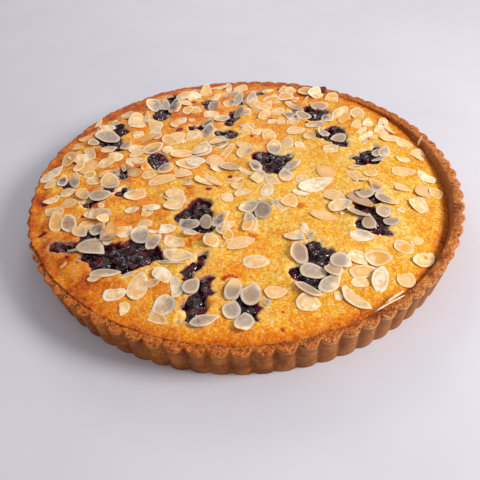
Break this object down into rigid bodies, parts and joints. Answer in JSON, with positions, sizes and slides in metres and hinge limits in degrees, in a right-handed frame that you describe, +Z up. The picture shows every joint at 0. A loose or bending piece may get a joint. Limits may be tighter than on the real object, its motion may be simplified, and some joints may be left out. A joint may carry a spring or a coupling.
{
  "type": "blueberry almond tart",
  "caption": "Round fluted shortcrust tart filled with baked almond sponge, with pools of cooked blueberries and flaked almonds on top.",
  "frame": {"origin": "middle of the flat base, on the surface that the tart stands on", "axes": "+Z up through the filling; -Y is the side nearest the picture's camera; +X is the picture's right, where the filling sank below the rim"},
  "size_m": [0.2766, 0.2754, 0.0268],
  "materials": {
    "baked_pastry": "matt, crumbly, baked brown",
    "almond_sponge": "matt, grainy, baked golden",
    "cooked_berries": "wet, nearly black purple"
  },
  "bodies": {
    "root": {"crust": "baked_pastry", "almond_sponge": "almond_sponge", "berry_pool_01": "cooked_berries", "berry_pool_02": "cooked_berries", "berry_pool_03": "cooked_berries", "berry_pool_04": "cooked_berries", "berry_pool_05": "cooked_berries", "berry_pool_06": "cooked_berries", "berry_pool_07": "cooked_berries", "berry_pool_08": "cooked_berries", "berry_pool_09": "cooked_berries", "berry_pool_10": "cooked_berries", "berry_pool_11": "cooked_berries", "berry_pool_12": "cooked_berries", "berry_pool_13": "cooked_berries", "berry_pool_14": "cooked_berries", "berry_pool_15": "cooked_berries", "berry_pool_16": "cooked_berries", "berry_pool_17": "cooked_berries", "berry_pool_18": "cooked_berries", "berry_pool_19": "cooked_berries", "berry_pool_20": "cooked_berries", "berry_pool_21": "cooked_berries", "berry_pool_22": "cooked_berries", "berry_pool_23": "cooked_berries", "berry_pool_24": "cooked_berries", "berry_pool_25": "cooked_berries", "berry_pool_26": "cooked_berries", "berry_pool_27": "cooked_berries"}
  },
  "joints": []
}
